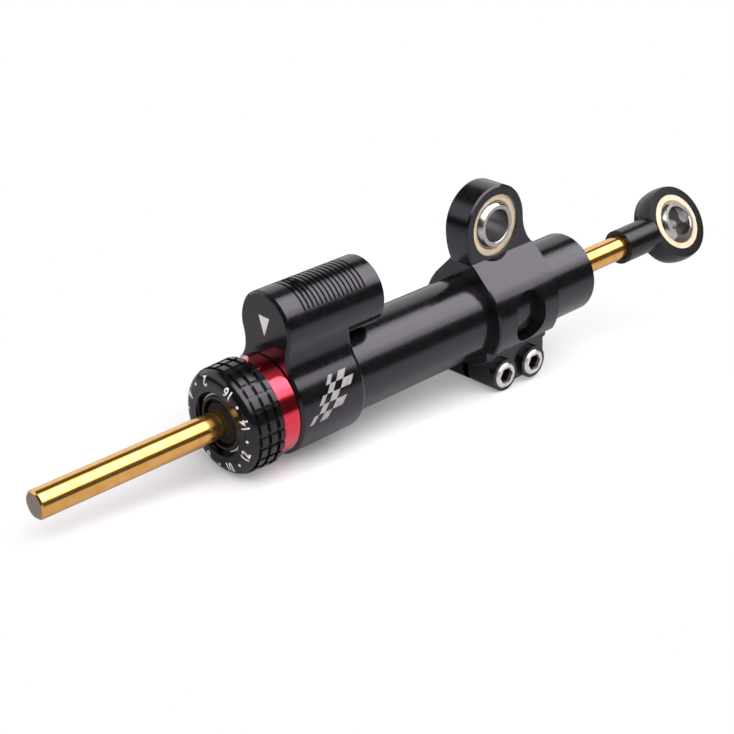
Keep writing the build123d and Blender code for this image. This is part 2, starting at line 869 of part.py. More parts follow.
def screw_places():
    """Where the two pinch screws are along the tube."""
    return (screw_middle - screw_spacing / 2, screw_middle + screw_spacing / 2)


def slab(face, half):
    """A face drawn in X and Z, made solid to both sides of the rod's axis."""
    return extrude(Plane.XZ * face, half, both=True)


def eye_hole(radius, start, end):
    """A round cutter on the frame eye's axis, between two places along Y."""
    body = Rot(-90, 0, 0) * Cylinder(radius, end - start, align=(Align.CENTER, Align.CENTER, Align.MIN))
    return Pos(eye_place, start, eye_height) * body


def clamp_window():
    """The slot-shaped windows through both sides of the ring."""
    outline = Rot(0, 0, 90) * SlotOverall(window_height, window_width)
    return slab(Pos(window_place, 0) * outline, ring_radius + cut_overrun)


def clamp_body():
    """The clamp: ring, eye plate, windows, slit and the lugs of the pinch screws."""
    ring = bar(ring_radius * 2, ring_start, ring_end)
    rims = edges_at(ring, Axis.X, ring_start) + edges_at(ring, Axis.X, ring_end)
    ring = chamfer(rims, plate_edge_chamfer)
    body = ring + eye_plate()
    body = body - ledge_room() + slab(lug_side(), lug_face)
    ledge = edges_at(body, Axis.Z, -ledge_drop).filter_by(Axis.X)
    ledge = ledge.filter_by(lambda edge: abs(edge.center().Y) > lug_face + ledge_chamfer)
    body = chamfer(ledge, ledge_chamfer)
    for place in screw_places():
        boss = Rot(90, 0, 0) * Cylinder(boss_diameter / 2, boss_face * 2)
        body += Pos(place, 0, -screw_drop) * boss
    body -= clamp_window()
    for side in (-1, 1):
        start = plate_thickness / 2 * side
        end = (ring_radius + cut_overrun) * side
        body -= eye_hole(spotface_radius, min(start, end), max(start, end))
    body -= eye_hole(race_diameter / 2 + seat_clearance, -ring_radius, ring_radius)
    body -= bar(tube_diameter + running_clearance * 2, ring_start - cut_overrun, ring_end + cut_overrun)
    slit_height = screw_drop + boss_diameter
    slit_length = ring_end - ring_start + cut_overrun * 2
    slit = Box(slit_length, slit_width, slit_height, align=(Align.MIN, Align.CENTER, Align.MAX))
    body -= Pos(ring_start - cut_overrun, 0, 0) * slit
    for place in screw_places():
        body -= Pos(place, 0, -screw_drop) * screw_room()
    return body


def cross_bar(diameter, start, end):
    """A round bar along Y between two places."""
    body = Rot(-90, 0, 0) * Cylinder(diameter / 2, end - start, align=(Align.CENTER, Align.CENTER, Align.MIN))
    return Pos(0, start, 0) * body


def screw_room():
    """The stepped hole of one pinch screw, with its axis at zero."""
    head_seat = -screw_face + screw_head_height
    room = cross_bar(screw_head_diameter + screw_head_clearance * 2, -screw_face - cut_overrun, head_seat)
    room += cross_bar(screw_diameter + screw_hole_clearance * 2, head_seat, slit_width / 2)
    return room + cross_bar(screw_diameter + seat_clearance * 2, 0, boss_face + cut_overrun)


def pinch_screw():
    """One socket-head screw with its axis at zero."""
    head_end = -screw_face + screw_head_height
    head = cross_bar(screw_head_diameter, -screw_face, head_end)
    head = chamfer(edges_at(head, Axis.Y, -screw_face), screw_head_chamfer)
    body = head + cross_bar(screw_diameter, head_end, screw_tip)
    socket = extrude(
        Plane.XZ * RegularPolygon(screw_socket_across_flats / 2, 6, major_radius=False),
        -(screw_socket_depth + cut_overrun),
    )
    return body - Pos(0, -screw_face - cut_overrun, 0) * socket


def clamp_screws():
    """The two pinch screws."""
    return [Pos(place, 0, -screw_drop) * pinch_screw() for place in screw_places()]


def at_frame_eye(body):
    """Places a bearing piece in the clamp's eye."""
    return Pos(eye_place, 0, eye_height) * body


def at_rod_eye(body):
    """Places a bearing piece in the rod end, turned as the rod end is."""
    return Pos(rod_eye_place, 0, 0) * Rot(-rod_end_turn, 0, 0) * body


def rod_end_housing():
    """The rod end: a sphere with flat faces on a neck that takes the rod."""
    radius = rod_end_sphere_diameter / 2
    head = Sphere(radius) & Box(rod_end_sphere_diameter, rod_end_width, rod_end_sphere_diameter)
    reach = rod_eye_place - rod_end_neck_start
    neck = Pos(-reach, 0, 0) * Rot(0, 90, 0) * Cylinder(
        rod_end_neck_diameter / 2, reach, align=(Align.CENTER, Align.CENTER, Align.MIN)
    )
    face_radius = math.sqrt(radius**2 - (rod_end_width / 2) ** 2) - rod_end_face_margin
    spotface = cross_bar(face_radius * 2, rod_end_width / 2, rod_end_neck_diameter)
    body = head + neck - spotface - mirror(spotface, Plane.XZ)
    body -= Rot(90, 0, 0) * Cylinder(race_diameter / 2 + seat_clearance, rod_end_sphere_diameter)
    body = at_rod_eye(body)
    thread_end = rod_shoulder + rod_thread_length + end_play
    body -= bar(rod_thread_diameter + seat_clearance * 2, rod_shoulder, thread_end)
    body -= bar(rod_diameter + rod_end_mouth_clearance * 2, rod_end_neck_start - cut_overrun, rod_shoulder)
    return body


def pieces():
    """Every node of the part by name."""
    seal_start = spigot_end - seal_length - end_play
    wiper_face = -nose_stand_out + wiper_inset
    return {
        "cylinder_tube": cylinder_tube(),
        "head_block": head_block(),
        "red_collar": red_collar(),
        "front_gland": front_gland(),
        "front_guide_bush": front_guide_bush(),
        "front_rod_seal": rod_seal(seal_start, 1),
        "front_wiper": wiper(wiper_face, 1),
        "flange_o_ring": flange_ring(),
        "rear_gland": rear_gland(),
        "rear_guide_bush": rear_guide_bush(),
        "rear_rod_seal": rod_seal(rear_gland_start, -1),
        "rear_wiper": wiper(rear_wiper_face(), -1),
        "rear_gland_o_ring": rear_gland_ring(),
        "rear_circlip": rear_circlip(),
        "reservoir_cap": reservoir_cap(),
        "cap_o_ring": cap_ring(),
        "cap_circlip": cap_circlip(),
        "compensator_piston": compensator_piston(),
        "compensator_o_ring": compensator_ring(),
        "compensator_spring": compensator_spring(),
        "detent_ball": detent_ball(),
        "detent_spring": detent_spring(),
        "dial_retaining_ring": dial_retaining_ring(),
        "adjuster_dial": adjuster_dial(),
        "metering_sleeve": metering_sleeve(),
        "sleeve_o_ring": sleeve_ring(),
        "damper_rod": damper_rod(),
        "piston": piston(),
        "piston_ring": piston_ring(),
        "piston_clips": piston_clips(),
        "rod_end_housing": rod_end_housing(),
        "rod_end_race": at_rod_eye(bearing_race()),
        "rod_end_ball": at_rod_eye(bearing_ball()),
        "clamp_body": clamp_body(),
        "clamp_race": at_frame_eye(bearing_race()),
        "clamp_ball": at_frame_eye(bearing_ball()),
        "clamp_screws": clamp_screws(),
    }


def main():
    """Writes one STEP file for each node."""
    os.makedirs("parts", exist_ok=True)
    shift = Pos(-eye_place, 0, -eye_height)
    for name, body in pieces().items():
        if isinstance(body, list):
            body = Compound(children=body)
        export_step(shift * body, f"parts/{name}.step")


main()
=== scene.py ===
"""Dresses a motorcycle steering damper: its finishes, its painted marks and a pale studio."""

import json
import logging
import math
from dataclasses import dataclass
from enum import Enum

import bpy
from mathutils import Matrix, Quaternion, Vector

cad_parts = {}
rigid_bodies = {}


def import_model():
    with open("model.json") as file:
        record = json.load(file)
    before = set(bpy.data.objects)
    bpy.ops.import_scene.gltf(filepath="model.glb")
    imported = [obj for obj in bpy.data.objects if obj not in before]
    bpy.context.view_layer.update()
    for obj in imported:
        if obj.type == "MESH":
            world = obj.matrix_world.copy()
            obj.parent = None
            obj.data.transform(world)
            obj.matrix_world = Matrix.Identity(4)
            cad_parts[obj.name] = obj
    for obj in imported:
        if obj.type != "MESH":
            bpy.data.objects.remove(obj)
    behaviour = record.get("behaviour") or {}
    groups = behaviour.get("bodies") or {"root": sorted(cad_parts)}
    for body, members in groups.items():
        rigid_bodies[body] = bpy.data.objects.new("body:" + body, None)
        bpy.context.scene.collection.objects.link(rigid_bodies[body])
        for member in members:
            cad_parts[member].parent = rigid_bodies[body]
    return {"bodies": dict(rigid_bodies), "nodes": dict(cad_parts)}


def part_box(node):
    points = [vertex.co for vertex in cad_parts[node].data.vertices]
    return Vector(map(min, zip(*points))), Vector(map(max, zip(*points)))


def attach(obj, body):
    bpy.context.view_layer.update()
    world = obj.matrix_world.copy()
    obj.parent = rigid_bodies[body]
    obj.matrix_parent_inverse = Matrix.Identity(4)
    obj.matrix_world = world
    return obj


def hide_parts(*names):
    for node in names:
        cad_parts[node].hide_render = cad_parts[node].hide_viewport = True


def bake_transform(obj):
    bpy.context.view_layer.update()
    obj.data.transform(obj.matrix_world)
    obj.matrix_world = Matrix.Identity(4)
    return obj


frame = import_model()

logging.basicConfig(level=logging.INFO, format="%(message)s")
log = logging.getLogger("damper")

Colour = tuple[float, float, float]
Axes = tuple[float, float, float]
Output = bpy.types.NodeSocket

# A millimetre in metres, a full turn in degrees, no stretch and plain white.
MM = 0.001
FULL_TURN = 360.0
EVEN: Axes = (1.0, 1.0, 1.0)
WHITE: Colour = (1.0, 1.0, 1.0)

# How many finer layers a pattern of patches and one of grain have.
PATCH_DETAIL = 3.0
GRAIN_DETAIL = 4.0

# The values between which nearly all of such a pattern lies.
PATTERN_LOW = 0.3
PATTERN_HIGH = 0.7

# How often a mark is divided before it is laid on a curved face, and how far it is lifted off the
# face, as a share of its thickness.
WRAP_CUTS = 2
LIFTED_SHARE = 0.25


class Socket(Enum):
    """Names of the shader sockets that the finishes set."""

    COLOUR = "Base Color"
    METAL = "Metallic"
    ROUGH = "Roughness"
    SPECULAR = "Specular IOR Level"
    COAT = "Coat Weight"
    COAT_ROUGH = "Coat Roughness"
    TINT = "Specular Tint"
    NORMAL = "Normal"


class Ray(Enum):
    """Kinds of rays that the studio treats in their own way."""

    CAMERA = "Is Camera Ray"
    GLOSSY = "Is Glossy Ray"
    TRANSMISSION = "Is Transmission Ray"


class Joining(Enum):
    """Ways to put two values of a material together."""

    LARGER = "MAXIMUM"
    PRODUCT = "MULTIPLY"


def clear_strangers() -> None:
    """Removes what was in the file before the frame came in."""
    known = set(frame["nodes"].values()) | set(frame["bodies"].values())
    for thing in list(bpy.data.objects):
        if thing not in known:
            bpy.data.objects.remove(thing, do_unlink=True)


class Nodes:
    """The nodes of a material or of the room."""

    def __init__(self, tree: bpy.types.NodeTree) -> None:
        """Takes the tree that the nodes go into.

        Args:
            tree: The tree.
        """
        self.tree = tree

    def ray(self, kind: Ray) -> Output:
        """Tells rays of one kind from all others.

        Args:
            kind: The kind.

        Returns:
            One for such a ray and zero for any other.
        """
        return self.tree.nodes.new("ShaderNodeLightPath").outputs[kind.value]

    def both(self, first: Output, second: Output, way: Joining) -> Output:
        """Puts two values together.

        Args:
            first: The first value.
            second: The second value.
            way: How they are put together.

        Returns:
            The result.
        """
        joined = self.tree.nodes.new("ShaderNodeMath")
        joined.operation = way.value
        self.tree.links.new(first, joined.inputs[0])
        self.tree.links.new(second, joined.inputs[1])
        return joined.outputs["Value"]

    def step(self, value: Output, start: float, end: float) -> Output:
        """Gives a soft step from zero to one.

        Args:
            value: What the step depends on.
            start: Where the step starts.
            end: Where it ends.

        Returns:
            The step.
        """
        stepped = self.spread(value, 0.0, 1.0, start, end)
        stepped.node.interpolation_type = "SMOOTHSTEP"
        return stepped

    def spread(
        self, value: Output, low: float, high: float, start: float = PATTERN_LOW, end: float = PATTERN_HIGH,
    ) -> Output:
        """Maps a range of values to another range.

        Args:
            value: The value.
            low: What a low value becomes.
            high: What a high value becomes.
            start: The low value.
            end: The high value.

        Returns:
            The mapped value.
        """
        ranged = self.tree.nodes.new("ShaderNodeMapRange")
        ranged.inputs["From Min"].default_value = start
        ranged.inputs["From Max"].default_value = end
        ranged.inputs["To Min"].default_value = low
        ranged.inputs["To Max"].default_value = high
        self.tree.links.new(value, ranged.inputs["Value"])
        return ranged.outputs["Result"]


class Shading(Nodes):
    """One procedural material and the nodes that it is made of."""

    def __init__(self, name: str) -> None:
        """Starts a material.

        Args:
            name: The material's name.
        """
        self.material = bpy.data.materials.new(name)
        self.material.use_nodes = True
        super().__init__(self.material.node_tree)
        self.shader = self.tree.nodes["Principled BSDF"]
        self.place = self.tree.nodes.new("ShaderNodeTexCoord").outputs["Object"]

    def set(self, socket: Socket, value: float | Colour) -> None:
        """Sets one of the shader's sockets to the same value all over.

        Args:
            socket: Which socket.
            value: A number or a colour.
        """
        if isinstance(value, tuple):
            value = (*value, 1.0)
        self.shader.inputs[socket.value].default_value = value

    def link(self, output: Output, socket: Socket) -> None:
        """Feeds one of the shader's sockets.

        Args:
            output: What feeds it.
            socket: Which socket.
        """
        self.tree.links.new(output, self.shader.inputs[socket.value])

    def stretched(self, stretch: Axes) -> Output:
        """Gives the place on the piece with its axes stretched.

        Args:
            stretch: How much each axis is stretched.

        Returns:
            The stretched place.
        """
        mapping = self.tree.nodes.new("ShaderNodeMapping")
        mapping.inputs["Scale"].default_value = stretch
        self.tree.links.new(self.place, mapping.inputs["Vector"])
        return mapping.outputs["Vector"]

    def noise(self, size: float, detail: float = PATCH_DETAIL, stretch: Axes = EVEN) -> Output:
        """Adds a soft random pattern.

        Args:
            size: About how large a patch is, in metres.
            detail: How many finer layers it has.
            stretch: How much each axis is stretched.

        Returns:
            The pattern's value.
        """
        noise = self.tree.nodes.new("ShaderNodeTexNoise")
        noise.inputs["Scale"].default_value = 1.0 / size
        noise.inputs["Detail"].default_value = detail
        self.tree.links.new(self.stretched(stretch), noise.inputs["Vector"])
        return noise.outputs["Fac"]

    def reach(self, centre: Axes, tilt: float, stretch: Axes) -> Output:
        """Measures how far a place is from a line or a point.

        Args:
            centre: The point, or a point of the line.
            tilt: How far the axes are turned about X, in degrees.
            stretch: How much each turned axis counts; the line's own axis counts nothing.

        Returns:
            The distance.
        """
        moved = self.tree.nodes.new("ShaderNodeVectorMath")
        moved.operation = "SUBTRACT"
        moved.inputs[1].default_value = centre
        self.tree.links.new(self.place, moved.inputs[0])
        turned = self.tree.nodes.new("ShaderNodeMapping")
        turned.inputs["Rotation"].default_value = (math.radians(tilt), 0.0, 0.0)
        self.tree.links.new(moved.outputs["Vector"], turned.inputs["Vector"])
        weighed = self.tree.nodes.new("ShaderNodeMapping")
        weighed.inputs["Scale"].default_value = stretch
        self.tree.links.new(turned.outputs["Vector"], weighed.inputs["Vector"])
        length = self.tree.nodes.new("ShaderNodeVectorMath")
        length.operation = "LENGTH"
        self.tree.links.new(weighed.outputs["Vector"], length.inputs[0])
        return length.outputs["Value"]

    def mixed(self, share: Output, first: Output, second: float | Colour) -> Output:
        """Mixes a value or a colour with a steady one.

        Args:
            share: How much of the steady one there is.
            first: The value or colour.
            second: The steady one.

        Returns:
            The mixed value or colour.
        """
        mix = self.tree.nodes.new("ShaderNodeMix")
        if isinstance(second, tuple):
            mix.data_type = "RGBA"
            second = (*second, 1.0)
        mix.inputs["B"].default_value = second
        self.tree.links.new(first, mix.inputs["A"])
        self.tree.links.new(share, mix.inputs["Factor"])
        return mix.outputs["Result"]

    def blend(self, share: Output, first: Colour, second: Colour) -> Output:
        """Mixes two colours.

        Args:
            share: How much of the second colour there is.
            first: The first colour.
            second: The second colour.

        Returns:
            The mixed colour.
        """
        mix = self.tree.nodes.new("ShaderNodeMix")
        mix.data_type = "RGBA"
        mix.inputs["A"].default_value = (*first, 1.0)
        mix.inputs["B"].default_value = (*second, 1.0)
        self.tree.links.new(share, mix.inputs["Factor"])
        return mix.outputs["Result"]

    def relief(self, height: Output, depth: float, strength: float) -> None:
        """Gives the surface a fine relief.

        Args:
            height: The relief's pattern.
            depth: How deep it is, in metres.
            strength: How strongly it shows.
        """
        bump = self.tree.nodes.new("ShaderNodeBump")
        bump.inputs["Strength"].default_value = strength
        bump.inputs["Distance"].default_value = depth
        self.tree.links.new(height, bump.inputs["Height"])
        self.link(bump.outputs["Normal"], Socket.NORMAL)

    def chosen(self, share: Output, first: Output, second: Output) -> Output:
        """Mixes two surfaces.

        Args:
            share: How much of the second one there is.
            first: The first surface.
            second: The second surface.

        Returns:
            The mixed surface.
        """
        mix = self.tree.nodes.new("ShaderNodeMixShader")
        self.tree.links.new(share, mix.inputs["Fac"])
        self.tree.links.new(first, mix.inputs[1])
        self.tree.links.new(second, mix.inputs[2])
        return mix.outputs["Shader"]

    def faded(self, plain: Output, share: Output, level: float) -> Output:
        """Fades a lit surface to a steady brightness.

        Args:
            plain: The lit surface.
            share: How much of the steady brightness there is.
            level: The steady brightness.

        Returns:
            The faded surface.
        """
        glow = self.tree.nodes.new("ShaderNodeEmission")
        glow.inputs["Strength"].default_value = level
        return self.chosen(share, plain, glow.outputs["Emission"])

    def surface(self, output: Output) -> None:
        """Makes this what is seen of the material.

        Args:
            output: The surface.
        """
        self.tree.links.new(output, self.tree.nodes["Material Output"].inputs["Surface"])

    def shine(self, strength: Output) -> None:
        """Makes the whole material give light.

        Args:
            strength: How bright it is.
        """
        glow = self.tree.nodes.new("ShaderNodeEmission")
        self.tree.links.new(strength, glow.inputs["Strength"])
        self.surface(glow.outputs["Emission"])


@dataclass(frozen=True)
class Finish:
    """One surface finish.

    Attributes:
        name: The material's name.
        dark: The colour where the pattern is low.
        light: The colour where the pattern is high.
        metal: How metallic the surface is.
        rough: The lowest and the highest roughness.
        specular: The strength of the clear reflection.
        coat: How much clear coat there is.
        patch: The size of the patches in colour and gloss, in metres.
        relief_size: The size of the fine relief, in metres.
        relief_depth: Its depth, in metres.
        relief_strength: How strongly it shows.
        lay: How the relief is stretched, as by turning or drawing.
        tint: The colour of the clear reflection.
    """

    name: str
    dark: Colour
    light: Colour
    metal: float = 0.0
    rough: tuple[float, float] = (0.2, 0.3)
    specular: float = 0.5
    coat: float = 0.0
    patch: float = 4.0 * MM
    relief_size: float = 0.6 * MM
    relief_depth: float = 0.02 * MM
    relief_strength: float = 0.1
    lay: Axes = EVEN
    tint: Colour = WHITE

    def coloured(self, shading: Shading) -> Output:
        """Gives the finish its colour.

        Args:
            shading: The material's nodes.

        Returns:
            The colour.
        """
        patches = shading.noise(self.patch)
        return shading.blend(shading.spread(patches, 0.0, 1.0), self.dark, self.light)

    def roughened(self, shading: Shading, grain: Output) -> Output:
        """Gives the finish its roughness.

        Args:
            shading: The material's nodes.
            grain: The fine relief's pattern.

        Returns:
            The roughness.
        """
        return shading.spread(grain, *self.rough)

    def material(self) -> bpy.types.Material:
        """Builds the finish as a material.

        Returns:
            The material.
        """
        shading = Shading(self.name)
        shading.link(self.coloured(shading), Socket.COLOUR)
        grain = shading.noise(self.relief_size, detail=GRAIN_DETAIL, stretch=self.lay)
        shading.link(self.roughened(shading, grain), Socket.ROUGH)
        shading.relief(grain, self.relief_depth, self.relief_strength)
        shading.set(Socket.METAL, self.metal)
        shading.set(Socket.SPECULAR, self.specular)
        shading.set(Socket.TINT, self.tint)
        shading.set(Socket.COAT, self.coat)
        shading.set(Socket.COAT_ROUGH, self.rough[0])
        return shading.material


@dataclass(frozen=True)
class PartedFinish(Finish):
    """A finish with another look close to a line or a plane, or away from it.

    Attributes:
        centre: A point of the line or plane, in metres.
        tilt: How far the axes are turned about X, in degrees.
        counted: How much each turned axis counts for the distance.
        limit: The distance at which the look changes, in metres.
        edge: How wide the change is, in metres.
        within: Whether the other look is the closer one.
        other_colour: The other look's colour: painted shade in the balls' bores and the screws' sockets,
            and the bare tip's own colour on the rod.
        other_rough: The other look's roughness.
    """

    centre: Axes = (0.0, 0.0, 0.0)
    tilt: float = 0.0
    counted: Axes = (1.0, 0.0, 1.0)
    limit: float = 5.05 * MM
    edge: float = 0.1 * MM
    within: bool = True
    # The default other look is painted shade: a darker grey inside the clamp ball's bore.
    other_colour: Colour = (0.26, 0.25, 0.25)
    other_rough: float = 0.42

    def share(self, shading: Shading) -> Output:
        """Tells the other look's part from the rest.

        Args:
            shading: The material's nodes.

        Returns:
            One where the other look is and zero elsewhere.
        """
        off = shading.reach(self.centre, self.tilt, self.counted)
        low, high = (1.0, 0.0) if self.within else (0.0, 1.0)
        return shading.spread(off, low, high, self.limit, self.limit + self.edge)

    def coloured(self, shading: Shading) -> Output:
        """Gives the finish its colour.

        Args:
            shading: The material's nodes.

        Returns:
            The colour.
        """
        return shading.mixed(self.share(shading), super().coloured(shading), self.other_colour)

    def roughened(self, shading: Shading, grain: Output) -> Output:
        """Gives the finish its roughness.

        Args:
            shading: The material's nodes.
            grain: The fine relief's pattern.

        Returns:
            The roughness.
        """
        return shading.mixed(self.share(shading), super().roughened(shading, grain), self.other_rough)


# How the fine relief runs on pieces that were turned on a lathe, and on the drawn and ground rod.
TURNED: Axes = (6.0, 0.15, 0.15)
DRAWN: Axes = (0.15, 3.0, 3.0)

# The faint violet that black anodised aluminium shows in its reflections.
LILAC: Colour = (0.96, 0.89, 1.0)

BLACK_GLOSS = Finish(
    "gloss_black_anodised", (0.003, 0.003, 0.0034), (0.006, 0.0057, 0.0066), rough=(0.14, 0.22),
    specular=0.68, patch=3.0 * MM, relief_size=1.6 * MM, relief_depth=0.01 * MM, relief_strength=0.1,
    tint=LILAC,
)
BLACK_DIAL = Finish(
    "satin_black_anodised", (0.0026, 0.003, 0.0026), (0.0055, 0.0062, 0.0055), rough=(0.12, 0.2),
    specular=0.62, patch=2.0 * MM, relief_size=0.4 * MM, relief_depth=0.01 * MM, relief_strength=0.12,
    tint=LILAC,
)
# The gland is black; the brown in this colour is a painted reflection of the gold rod.
NOSE_BLACK = Finish(
    "black_nose_painted_rod_reflection", (0.010, 0.007, 0.006), (0.022, 0.015, 0.012), rough=(0.3, 0.45),
    specular=0.4, patch=1.5 * MM, relief_size=0.4 * MM, relief_depth=0.01 * MM, relief_strength=0.2,
)
RED_ANODISED = Finish(
    "gloss_red_anodised", (0.88, 0.014, 0.045), (0.98, 0.028, 0.07), metal=0.98, rough=(0.12, 0.17),
    coat=1.0, patch=2.0 * MM, relief_size=0.5 * MM, relief_strength=0.08, lay=TURNED,
)
GOLD_ROD = PartedFinish(
    "gold_coated_steel", (0.89, 0.45, 0.115), (0.96, 0.57, 0.18), metal=0.96, rough=(0.12, 0.18),
    patch=3.0 * MM, relief_size=0.8 * MM, relief_strength=0.1, lay=DRAWN, centre=(-161.8 * MM, 0.0, 0.0),
    counted=(1.0, 0.0, 0.0), limit=0.08 * MM, edge=0.05 * MM,
    other_colour=(0.40, 0.33, 0.29), other_rough=0.5,
)
GOLD_RACE = Finish(
    "gold_plated_race", (0.86, 0.66, 0.44), (0.95, 0.80, 0.60), metal=0.5, rough=(0.32, 0.42),
    patch=2.0 * MM, relief_size=0.5 * MM, relief_strength=0.12,
)
# On both balls the other look is painted shade: a darker, duller grey inside the bore.
FRAME_BALL = PartedFinish(
    "polished_steel", (0.50, 0.48, 0.46), (0.66, 0.64, 0.62), metal=1.0, rough=(0.18, 0.26),
    patch=2.0 * MM, relief_size=0.8 * MM, relief_strength=0.06,
)
ROD_BALL = PartedFinish(
    "polished_steel_turned", (0.50, 0.48, 0.46), (0.66, 0.64, 0.62), metal=1.0, rough=(0.18, 0.26),
    patch=2.0 * MM, relief_size=0.8 * MM, relief_strength=0.06,
    centre=(91.4 * MM, 0.0, -27.7 * MM), tilt=-33.0, other_colour=(0.15, 0.145, 0.14),
)
# The other look here is painted shade: dark brown in the hex sockets and on all that lies behind the heads'
# faces.
SCREW_STEEL = PartedFinish(
    "bright_screw_steel_painted_socket_shade", (0.70, 0.69, 0.68), (0.86, 0.85, 0.84), metal=0.85, rough=(0.24, 0.34),
    patch=1.0 * MM, relief_size=0.3 * MM, relief_strength=0.15, centre=(0.0, -12.0 * MM, 0.0),
    counted=(0.0, 1.0, 0.0), limit=0.5 * MM, edge=0.3 * MM, within=False,
    other_colour=(0.05, 0.035, 0.025), other_rough=0.35,
)
# Near-white cream with no metal is a painted glint: it makes the dial's retaining ring show bright arcs;
# the hidden clips, detent ball and springs share it.
RING_STEEL_PAINTED_GLINT = Finish(
    "spring_steel_painted_glint", (0.97, 0.94, 0.88), (1.0, 0.985, 0.94), metal=0.0, rough=(0.2, 0.3), specular=1.0,
    relief_size=0.3 * MM, relief_strength=0.1,
)
ROD_END_BLACK = Finish(
    "black_rod_end", (0.003, 0.003, 0.0034), (0.006, 0.006, 0.0066), rough=(0.16, 0.26),
    specular=0.48, patch=2.0 * MM, relief_size=0.6 * MM, relief_strength=0.12,
)
BARE_ALUMINIUM = Finish(
    "machined_aluminium", (0.62, 0.62, 0.63), (0.74, 0.74, 0.75), metal=1.0, rough=(0.25, 0.38),
    relief_size=0.5 * MM, relief_strength=0.2, lay=TURNED,
)
BRONZE = Finish(
    "bearing_bronze", (0.50, 0.30, 0.12), (0.62, 0.40, 0.18), metal=1.0, rough=(0.3, 0.45),
    relief_size=0.5 * MM, relief_strength=0.2,
)
RUBBER = Finish(
    "black_rubber", (0.008, 0.006, 0.005), (0.016, 0.012, 0.010), rough=(0.5, 0.65),
    specular=0.25, relief_size=0.3 * MM, relief_strength=0.3,
)
SLIDE_PLASTIC = Finish(
    "slide_ring_plastic", (0.10, 0.085, 0.06), (0.14, 0.12, 0.09), rough=(0.4, 0.55),
    relief_size=0.4 * MM, relief_strength=0.2,
)
WHITE_PAINT = Finish(
    "white_mark", (0.74, 0.74, 0.74), (0.84, 0.84, 0.84), rough=(0.5, 0.6),
    relief_size=0.2 * MM, relief_strength=0.15,
)
ETCHED = Finish(
    "etched_grey_mark", (0.27, 0.255, 0.265), (0.38, 0.36, 0.37), rough=(0.45, 0.6),
    specular=0.5, patch=1.2 * MM, relief_size=0.25 * MM, relief_strength=0.4,
)

DRESS: dict[Finish, tuple[str, ...]] = {
    BLACK_GLOSS: ("cylinder_tube", "head_block", "clamp_body"),
    BLACK_DIAL: ("adjuster_dial",),
    NOSE_BLACK: ("front_gland",),
    RED_ANODISED: ("red_collar",),
    GOLD_ROD: ("damper_rod",),
    GOLD_RACE: ("clamp_race", "rod_end_race"),
    FRAME_BALL: ("clamp_ball",),
    ROD_BALL: ("rod_end_ball",),
    SCREW_STEEL: ("clamp_screws",),
    RING_STEEL_PAINTED_GLINT: (
        "dial_retaining_ring", "rear_circlip", "cap_circlip", "piston_clips", "detent_ball",
        "detent_spring", "compensator_spring",
    ),
    ROD_END_BLACK: ("rod_end_housing",),
    BARE_ALUMINIUM: ("rear_gland", "metering_sleeve", "piston", "compensator_piston", "reservoir_cap"),
    BRONZE: ("front_guide_bush", "rear_guide_bush"),
    RUBBER: (
        "front_rod_seal", "front_wiper", "flange_o_ring", "rear_rod_seal", "rear_wiper",
        "rear_gland_o_ring", "cap_o_ring", "compensator_o_ring", "sleeve_o_ring",
    ),
    SLIDE_PLASTIC: ("piston_ring",),
}


def dress_nodes() -> None:
    """Gives every solid of the frame its finish."""
    for finish, nodes in DRESS.items():
        material = finish.material()
        for node in nodes:
            body = frame["nodes"][node]
            for slot in body.material_slots:
                slot.material = material
            log.info("dressed %s in %s", node, finish.name)


def only(piece: bpy.types.Object) -> None:
    """Selects one piece alone and makes it active.

    Args:
        piece: The piece.
    """
    bpy.ops.object.select_all(action="DESELECT")
    piece.select_set(True)
    bpy.context.view_layer.objects.active = piece


def settle(piece: bpy.types.Object) -> None:
    """Moves a piece's place into its mesh.

    Args:
        piece: The piece.
    """
    only(piece)
    bpy.ops.object.transform_apply(location=True, rotation=True, scale=True)


def point_outwards(piece: bpy.types.Object, weld: float = 0.0) -> None:
    """Points the faces of a closed piece outwards.

    Args:
        piece: The piece.
        weld: How close corners are that become one first, in metres; at zero none do.
    """
    only(piece)
    bpy.ops.object.mode_set(mode="EDIT")
    bpy.ops.mesh.select_all(action="SELECT")
    if weld:
        bpy.ops.mesh.remove_doubles(threshold=weld)
    bpy.ops.mesh.normals_make_consistent(inside=False)
    bpy.ops.object.mode_set(mode="OBJECT")


# Stands a mark that is drawn flat up on its foot, so that it faces the front.
FACING_FRONT = Matrix(((0, 0, -1, 0), (-1, 0, 0, 0), (0, 1, 0, 0), (0, 0, 0, 1)))


def axis_height() -> float:
    """Gives the height of the rod's axis."""
    low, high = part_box("adjuster_dial")
    return (low.z + high.z) / 2


def head_face() -> float:
    """Gives the place of the head block's front face along the rod."""
    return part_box("red_collar")[1].x


def thicken(piece: bpy.types.Object, thickness: float) -> None:
    """Gives a flat piece its thickness, half of it to each side.

    Args:
        piece: The piece, which is the active one.
        thickness: Its thickness, in metres.
    """
    body = piece.modifiers.new("body", "SOLIDIFY")
    body.thickness = thickness
    body.offset = 0.0
    bpy.ops.object.modifier_apply(modifier=body.name)


def finish_mark(mark: bpy.types.Object, material: bpy.types.Material, body: str) -> None:
    """Gives a mark its material and the body that it moves with, and reports it.

    Args:
        mark: The mark.
        material: Its material.
        body: The body's name.
    """
    mark.data.materials.clear()
    mark.data.materials.append(material)
    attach(mark, body)
    log.info("piece %s", mark.name)


